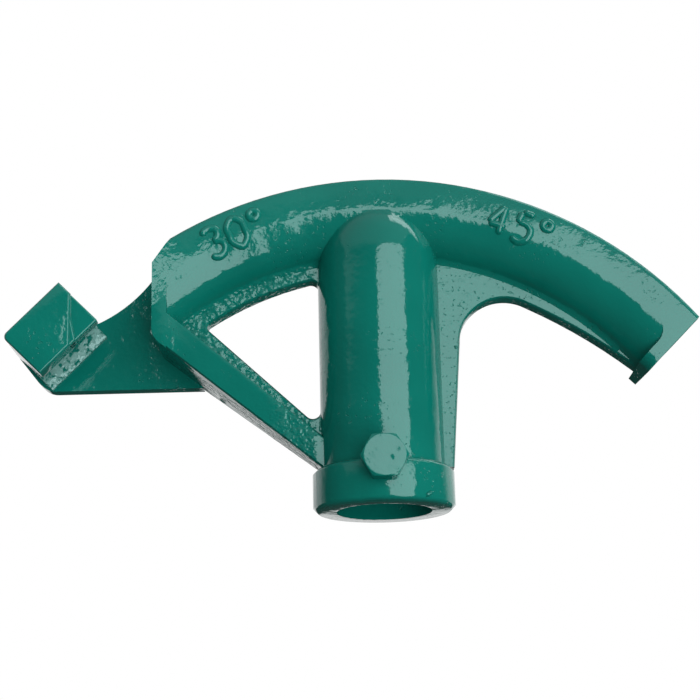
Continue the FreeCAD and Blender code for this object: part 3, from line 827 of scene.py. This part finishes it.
@dataclass(frozen=True)
class RaisedMark:
    """A row of numerals cast proud of the shoe's front, in metres and degrees."""

    name: str
    glyphs: tuple[Glyph, ...]
    angle: float
    base_radius: float = 107.0 * MM
    height: float = 9.2 * MM
    gap: float = 0.26
    stroke_width: float = 2.35 * MM
    stand: float = 0.85 * MM
    sunk: float = 0.40 * MM
    shoe: ShoeShape = ShoeShape()
    along: int = 34
    around: int = 14

    def build(self) -> bpy.types.Object:
        """Make the mark's mesh from its strokes and return its object."""
        vertices: list[np.ndarray] = []
        faces: list[np.ndarray] = []
        start = 0.0
        count = 0
        for glyph in self.glyphs:
            for stroke in glyph.value:
                grid = self._bead(stroke, start)
                vertices.append(grid.reshape(-1, 3))
                faces.append(skin(*grid.shape[:2]) + count)
                count += grid.shape[0] * grid.shape[1]
            start += max(point[0] for stroke in glyph.value for point in stroke.points) + self.gap
        return make_mesh(self.name, np.concatenate(vertices), np.concatenate(faces))

    def _path(self, stroke: Stroke) -> np.ndarray:
        """Points along a stroke: straight between its ends, or a Catmull-Rom curve through them.

        On the curve, each span blends its four nearest points by the cubic whose slope at a
        point is half the step between that point's neighbours.
        """
        points = np.asarray(stroke.points, float)
        share = np.linspace(0.0, 1.0, self.along)
        if not stroke.smooth:
            return points[0] + (points[-1] - points[0]) * share[:, None]
        closed = stroke.closed
        before = points[-2] if closed else 2 * points[0] - points[1]
        after = points[1] if closed else 2 * points[-1] - points[-2]
        padded = np.vstack((before, points, after))
        spans = len(points) - 1
        whole = np.minimum((share * spans).astype(int), spans - 1)
        t = (share * spans - whole)[:, None]
        a, b, c, d = (padded[whole + step] for step in range(4))
        square, cube = 2 * a - 5 * b + 4 * c - d, 3 * b - a - 3 * c + d
        return 0.5 * (2 * b + (c - a) * t + square * t**2 + cube * t**3)

    def _bead(self, stroke: Stroke, start: float) -> np.ndarray:
        """A rounded bead along a stroke, whose section is half an ellipse over the shoe's front.

        The bead's reach across the stroke is half its width times the cosine of the section's
        angle, and its height over the front is its stand times the sine. On an open stroke both
        shrink to nothing over a half width at the ends, as the square root of a circle does.
        """
        path = self._path(stroke)
        step = np.gradient(path, axis=0)
        if stroke.closed:
            step[0] = step[-1] = path[1] - path[-2]
        step /= np.maximum(np.linalg.norm(step, axis=1, keepdims=True), 1e-9)
        across = np.stack((-step[:, 1], step[:, 0]), axis=1)
        steps = np.linalg.norm(np.diff(path, axis=0), axis=1)
        length = np.concatenate(([0.0], np.cumsum(steps)))
        half = self.stroke_width / 2 / self.height
        from_end = np.minimum(length, length[-1] - length) / half
        swell = np.sqrt(np.clip(1 - (1 - np.clip(from_end, 0.0, 1.0)) ** 2, 0.0, 1.0))
        if stroke.closed:
            swell = np.ones_like(swell)
        turn = np.linspace(0.0, math.pi, self.around)
        reach = half * swell[:, None] * np.cos(turn)[None, :]
        flat = path[:, None, :] + across[:, None, :] * reach[:, :, None]
        proud = (self.stand + self.sunk) * swell[:, None] * np.sin(turn)[None, :] - self.sunk
        radius = self.base_radius + flat[..., 1] * self.height
        along = (start + flat[..., 0]) * self.height
        angle = math.radians(self.angle) + along / self.shoe.bend_radius
        places = self.shoe.front(angle, radius)
        places[..., 1] -= proud
        return places


@dataclass(frozen=True)
class HookCheek:
    """The shallow hollow in the hook's front: a block whose face lies a little behind the pad's.

    It fills the hook's corner between the pad's upright edge and the hook's end, over the groove.
    Sizes in metres.
    """

    name: str
    face: float
    left: float
    right: float | None = None
    end_run: float = -3.66 * MM
    top_rise: float = 127.5 * MM
    lip_rise: float = 113.86 * MM
    back: float = 9.5 * MM
    bevel: float = 0.45 * MM
    bevel_segments: int = 3
    shoe: ShoeShape = ShoeShape()
    stations: int = 41

    def build(self) -> bpy.types.Object:
        """Make the block as a stack of outlines from its face to its back.

        At each depth the outline's lower edge follows the groove's roof: the rise is the bend
        radius plus the square root of the groove's radius squared less the depth squared, and it
        is never under the lip. The left edge is upright, and the right edge is the hook's end or
        a second upright.
        """
        depth = np.linspace(self.face, self.back, self.stations)
        groove = self.shoe.groove_radius
        roof = self.shoe.bend_radius + np.sqrt(np.clip(groove**2 - depth**2, 0.0, None))
        low = np.where(np.abs(depth) < groove, np.maximum(roof, self.lip_rise), self.lip_rise)
        corners = [
            (low, self._run_at(low, self.left)),
            (low, self._run_at(low, self.right)),
            (np.full_like(low, self.top_rise), self._run_at(self.top_rise, self.right)),
            (np.full_like(low, self.top_rise), self._run_at(self.top_rise, self.left)),
        ]
        grid = np.stack([self.shoe.on_hook(rise, run, depth) for rise, run in corners], axis=1)
        size = grid.shape[:2]
        item = make_mesh(self.name, grid.reshape(-1, 3), skin(*size), caps=size)
        ease = item.modifiers.new("eased_edges", "BEVEL")
        ease.width, ease.segments = self.bevel, self.bevel_segments
        ease.limit_method, ease.angle_limit = "ANGLE", SOFT_ANGLE
        return item

    def _run_at(self, rise: np.ndarray | float, upright: float | None) -> np.ndarray | float:
        """The run at which a rise meets an upright edge, no further than the hook's end.

        The run is the upright's x plus the rise times the sine, over the cosine.
        """
        if upright is None:
            return np.full_like(np.asarray(rise, float), self.end_run)
        lean, level = math.sin(self.shoe.hook_slope), math.cos(self.shoe.hook_slope)
        return np.minimum((upright + np.asarray(rise, float) * lean) / level, self.end_run)


@dataclass(frozen=True)
class EnamelRun:
    """A lump where the enamel ran and set, in metres."""

    name: str
    middle: Triple
    reach: Triple
    lean: float = 0.0
    ripple: float = 0.10
    rows: int = 18
    columns: int = 26

    def build(self) -> bpy.types.Object:
        """Make the lump as an uneven egg.

        The egg's reach along each axis is scaled by one plus a small sum of sines of the two
        angles, and the egg is then turned about Y.
        """
        tilt = np.linspace(0.0, math.pi, self.rows)[:, None]
        turn = np.linspace(0.0, 2 * math.pi, self.columns, endpoint=False)[None, :]
        waves = np.sin(3 * turn + 1.0) + 0.6 * np.sin(2 * turn + 5 * tilt)
        uneven = 1 + self.ripple * np.sin(tilt) * waves
        x = np.sin(tilt) * np.cos(turn) * uneven * self.reach[0]
        y = np.sin(tilt) * np.sin(turn) * uneven * self.reach[1]
        z = np.cos(tilt) * np.ones_like(turn) * self.reach[2]
        along, over = math.cos(math.radians(self.lean)), math.sin(math.radians(self.lean))
        places = np.stack((x * along + z * over, y, z * along - x * over), axis=-1)
        places += np.asarray(self.middle)
        return make_mesh(self.name, places.reshape(-1, 3), skin(self.rows, self.columns))


def skin(rows: int, columns: int) -> np.ndarray:
    """Quads of a tube of rows by columns, whose last column joins the first."""
    first = np.arange(rows - 1)[:, None] * columns
    column = np.arange(columns)[None, :]
    beside = (column + 1) % columns
    corners = (first + column, first + beside, first + columns + beside, first + columns + column)
    return np.stack(corners, axis=-1).reshape(-1, 4)


def make_mesh(
    name: str, vertices: np.ndarray, faces: np.ndarray, caps: tuple[int, int] | None = None
) -> bpy.types.Object:
    """Put arrays into a closed mesh object at the origin, its doubles merged and its faces outward.

    Args:
        name: The object's name.
        vertices: Points in metres, one row each.
        faces: Corner numbers of each quad.
        caps: Rows and columns of the grid, where its first and last rows are to be closed.

    Returns:
        The linked object.
    """
    outlines = faces.tolist()
    if caps is not None:
        rows, columns = caps
        outlines += [list(range(columns)), list(range((rows - 1) * columns, rows * columns))]
    mesh = bpy.data.meshes.new(name)
    mesh.from_pydata(vertices.tolist(), [], outlines)
    shape = bmesh.new()
    shape.from_mesh(mesh)
    bmesh.ops.remove_doubles(shape, verts=shape.verts, dist=MERGE_DISTANCE)
    bmesh.ops.dissolve_degenerate(shape, edges=shape.edges, dist=MERGE_DISTANCE / 10)
    bmesh.ops.recalc_face_normals(shape, faces=shape.faces)
    shape.to_mesh(mesh)
    shape.free()
    mesh.polygons.foreach_set("use_smooth", np.ones(len(mesh.polygons), bool))
    mesh.set_sharp_from_angle(angle=SOFT_ANGLE)
    item = bpy.data.objects.new(name, mesh)
    bpy.context.scene.collection.objects.link(item)
    return item


@dataclass(frozen=True)
class Stretch:
    """A stretch of a turned surface: even stations between two places and two radii, in metres."""

    out: Pair
    radius: Pair
    count: int

    def sample(self) -> np.ndarray:
        """Stations from its start to its end, with their place and radius in the last axis."""
        return np.linspace((self.out[0], self.radius[0]), (self.out[1], self.radius[1]), self.count)


@dataclass(frozen=True)
class Dent:
    """A shallow dent in the bolt's face, in metres: its middle, its width and its depth."""

    beside: float
    over: float
    width: float
    depth: float

    def sink(self, x: np.ndarray, up: np.ndarray) -> np.ndarray:
        """Depth at points of the face: a bell curve of the distance from the dent's middle."""
        away = (x - self.beside) ** 2 + (up - self.over) ** 2
        return self.depth * np.exp(-away / (2 * self.width**2))


@dataclass(frozen=True)
class SetBolt:
    """The hexagon set bolt that clamps the handle, in metres and degrees.

    Its own axis runs out of the collar, from the underside of the head.
    """

    seat: float = -21.8 * MM
    height: float = 11.6 * MM
    across_flats: float = 12.0 * MM
    head_height: float = 5.3 * MM
    bevel: float = 30.0
    flatness: float = 44.0
    crest: float = 3.98 * MM
    root: float = 3.40 * MM
    pitch: float = 1.25 * MM
    crest_share: float = 1.25
    shank: float = 7.6 * MM
    tip: float = 0.8 * MM
    ease: float = 0.05 * MM
    dents: tuple[Dent, ...] = (
        Dent(1.5 * MM, -0.9 * MM, 0.70 * MM, 0.055 * MM),
        Dent(3.2 * MM, 1.0 * MM, 0.70 * MM, 0.045 * MM),
    )
    enamel: Enamel = Enamel(swell_height=0.10 * MM, peel_height=0.035 * MM, pit_depth=0.06 * MM)
    around: int = 144

    def build(self) -> bpy.types.Object:
        """Make the bolt as one turned surface whose radius changes round its axis.

        A station's radius is its own limit or the hexagon's, whichever is less, and on the
        thread it follows a triangle wave that climbs one pitch each turn and is cut off flat at
        the crest. The dents sink the face only.
        """
        out, limit = self._stations().T[..., None]
        threaded = (out <= 0.0) & (out > self.tip - self.shank) & (limit <= self.crest)
        turn = np.linspace(0.0, 2 * math.pi, self.around, endpoint=False)[None, :]
        radius = self._least(self._hexagon(turn), limit)
        wave = np.abs(((out / self.pitch - turn / (2 * math.pi)) % 1.0) * 2 - 1)
        swell = np.clip(wave * self.crest_share, 0.0, 1.0)
        thread = self.root + (self.crest - self.root) * swell
        radius = np.where(threaded, np.minimum(radius, thread), radius)
        x, up = radius * np.cos(turn), radius * np.sin(turn)
        sunk = sum(dent.sink(x, up) for dent in self.dents)
        away = out - np.where(out > self.head_height * 0.9, sunk, 0.0)
        places = np.stack((x, self.seat - away, self.height + up), axis=-1)
        return make_mesh("hex_bolt", places.reshape(-1, 3), skin(*places.shape[:2]))

    def _stations(self) -> np.ndarray:
        """Stations from the middle of the head's face to the middle of the shank's end.

        The face ends just short of the flats. The bevel starts a hair under it and falls from the
        flats to just past the hexagon's corners, where the sides and the underside begin. The
        sides' first station is one step down, and they end at a foot over the underside, which
        rounds the edge there. The thread's crest leads to the shank's chamfered nose.
        """
        flat, top = self.across_flats / 2, self.head_height
        inner, under, corner, outer = flat * 0.975, flat * 1.16, flat * 1.17, flat * 1.18
        neck, nose = self.crest * 1.02, self.crest - self.tip * 0.9
        fall = (corner - flat) * math.tan(math.radians(self.bevel))
        hair, foot, steps = 0.02 * MM, 0.35 * MM, 9
        first = top - fall - (top - fall - foot) / steps
        stretches = (
            Stretch((top, top), (0.0, inner), 30),
            Stretch((top - hair, top - fall - hair), (flat, corner), 18),
            Stretch((first, foot), (outer, outer), steps),
            Stretch((0.0, 0.0), (under, neck), 8),
            Stretch((0.0, self.tip - self.shank), (self.crest, self.crest), 60),
            Stretch((-self.shank, -self.shank), (nose, 0.0), 8),
        )
        return np.concatenate([stretch.sample() for stretch in stretches])

    def _hexagon(self, turn: np.ndarray) -> np.ndarray:
        """Radius of a hexagon with eased corners.

        It is half the width across flats over the high power mean of the cosines to the flats'
        three directions, the first at 30 degrees.
        """
        flats = np.radians((30.0, 90.0, 150.0))[:, None, None]
        mean = (np.abs(np.cos(turn[None] - flats)) ** self.flatness).sum(axis=0)
        return self.across_flats / 2 / mean ** (1 / self.flatness)

    def _least(self, first: np.ndarray, second: np.ndarray) -> np.ndarray:
        """The smaller of two lengths, eased where they meet.

        It is half of their sum less the square root of their difference and the ease squared.
        """
        gap = first - second
        least = 0.5 * (first + second - np.sqrt(gap**2 + self.ease**2))
        return np.where(second <= self.ease, second, np.maximum(least, 0.0))

    def dress(self) -> None:
        """Put the bolt in the place of its plain solid."""
        piece = self.build()
        piece.data.materials.append(self.enamel.build(on_casting=False))
        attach(piece, BOLT_BODY)
        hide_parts("set_bolt")
        LOG.info("piece %s rides on %s", piece.name, BOLT_BODY)


@dataclass(frozen=True)
class BenderHead:
    """The casting, the marks cast on it and the runs of its enamel, in metres and degrees."""

    enamel: Enamel = Enamel()
    shoe: ShoeShape = ShoeShape()
    far_draft: float = 1.3 * MM
    far_span: float = 4.0 * MM
    far_corner: float = 4.0 * MM
    web_side: float = 3.0 * MM
    normal_weight: int = 70
    marks: tuple[RaisedMark, ...] = (
        RaisedMark("mark_30", (Glyph.THREE, Glyph.ZERO, Glyph.DEGREE), -27.0),
        RaisedMark("mark_45", (Glyph.FOUR, Glyph.FIVE, Glyph.DEGREE), 17.5),
    )
    cheeks: tuple[HookCheek, ...] = (
        HookCheek("hook_cheek", -11.6 * MM, -92.2 * MM),
        HookCheek("hook_step", -12.3 * MM, -91.9 * MM, -89.3 * MM),
    )
    runs: tuple[EnamelRun, ...] = (
        EnamelRun(
            "run_toe", (-47.0 * MM, 7.0 * MM, 36.9 * MM), (2.3 * MM, 1.6 * MM, 1.4 * MM), 35.0
        ),
        EnamelRun(
            "run_collar", (12.2 * MM, -16.8 * MM, 1.9 * MM), (1.5 * MM, 0.7 * MM, 0.6 * MM), -25.0
        ),
        EnamelRun(
            "run_arch", (22.6 * MM, -2.4 * MM, 48.4 * MM), (0.6 * MM, 0.9 * MM, 0.8 * MM), 0.0, 0.06
        ),
    )

    def dress(self, solid: bpy.types.Object) -> None:
        """Put the finished casting in the place of its plain solid, with the pieces on it."""
        finish = self.enamel.build()
        casting = self.recast(solid)
        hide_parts(solid.name)
        pieces = [casting]
        pieces += [part.build() for part in (*self.marks, *self.cheeks, *self.runs)]
        for piece in pieces:
            piece.data.materials.append(finish)
            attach(piece, HEAD_BODY)
            LOG.info("piece %s rides on %s", piece.name, HEAD_BODY)

    def recast(self, solid: bpy.types.Object) -> bpy.types.Object:
        """Copy the plain solid with its doubles merged, its far end drafted and its edges soft."""
        mesh = bpy.data.meshes.new("casting")
        shape = bmesh.new()
        shape.from_mesh(solid.data)
        bmesh.ops.remove_doubles(shape, verts=shape.verts, dist=MERGE_DISTANCE * 2)
        shape.to_mesh(mesh)
        shape.free()
        if "custom_normal" in mesh.attributes:
            mesh.attributes.remove(mesh.attributes["custom_normal"])
        self._mark_sharp(mesh, self._draft(mesh))
        item = bpy.data.objects.new("casting", mesh)
        bpy.context.scene.collection.objects.link(item)
        soften = item.modifiers.new("soft_edges", "WEIGHTED_NORMAL")
        soften.keep_sharp = True
        soften.weight = self.normal_weight
        return item

    def _draft(self, mesh: bpy.types.Mesh) -> np.ndarray:
        """Lean the far end's face in toward its back and return the mesh's points.

        A point moves inward by the draft times its share of the way from behind the front corner
        to the back, and times how near the end it is over a span.
        """
        flat = np.empty(len(mesh.vertices) * 3)
        mesh.vertices.foreach_get("co", flat)
        places = flat.reshape(-1, 3)
        lean = self.shoe.far_lean
        outward = np.array((math.cos(lean), 0.0, -math.sin(lean)))
        reach = places @ outward
        near_end = np.clip(1 - (reach.max() - reach) / self.far_span, 0.0, 1.0)
        behind = places[:, 1] + self.shoe.half_width - self.far_corner
        share = np.clip(behind, 0.0, None) / (2 * self.shoe.half_width - self.far_corner)
        places -= outward * (near_end * share * self.far_draft)[:, None]
        mesh.vertices.foreach_set("co", places.reshape(-1))
        return places

    def _mark_sharp(self, mesh: bpy.types.Mesh, places: np.ndarray) -> None:
        """Shade the mesh smooth, but for its steep edges and those of the webs' faces."""
        mesh.polygons.foreach_set("use_smooth", np.ones(len(mesh.polygons), bool))
        mesh.set_sharp_from_angle(angle=SOFT_ANGLE)
        ends = np.empty(len(mesh.edges) * 2, np.int32)
        sharp = np.empty(len(mesh.edges), bool)
        mesh.edges.foreach_get("vertices", ends)
        mesh.edges.foreach_get("use_edge_sharp", sharp)
        on_web = np.abs(np.abs(places[:, 1]) - self.web_side) < 0.02 * MM
        mesh.edges.foreach_set("use_edge_sharp", sharp | on_web[ends.reshape(-1, 2)].all(axis=1))


def main() -> None:
    """Load the frame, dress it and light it."""
    logging.basicConfig(level=logging.INFO)
    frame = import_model()
    BenderHead().dress(frame["nodes"]["bender_head"])
    SetBolt().dress()

    studio = Pavilion()
    studio.add_camera(Shot())
    studio.set_sky(Sky())
    studio.add_floor(level=-0.5 * MM, half=3.0)
    for lamp in FILLS:
        studio.add_lamp(lamp)
    bpy.context.scene.view_settings.view_transform = "Standard"


if __name__ == "__main__":
    main()
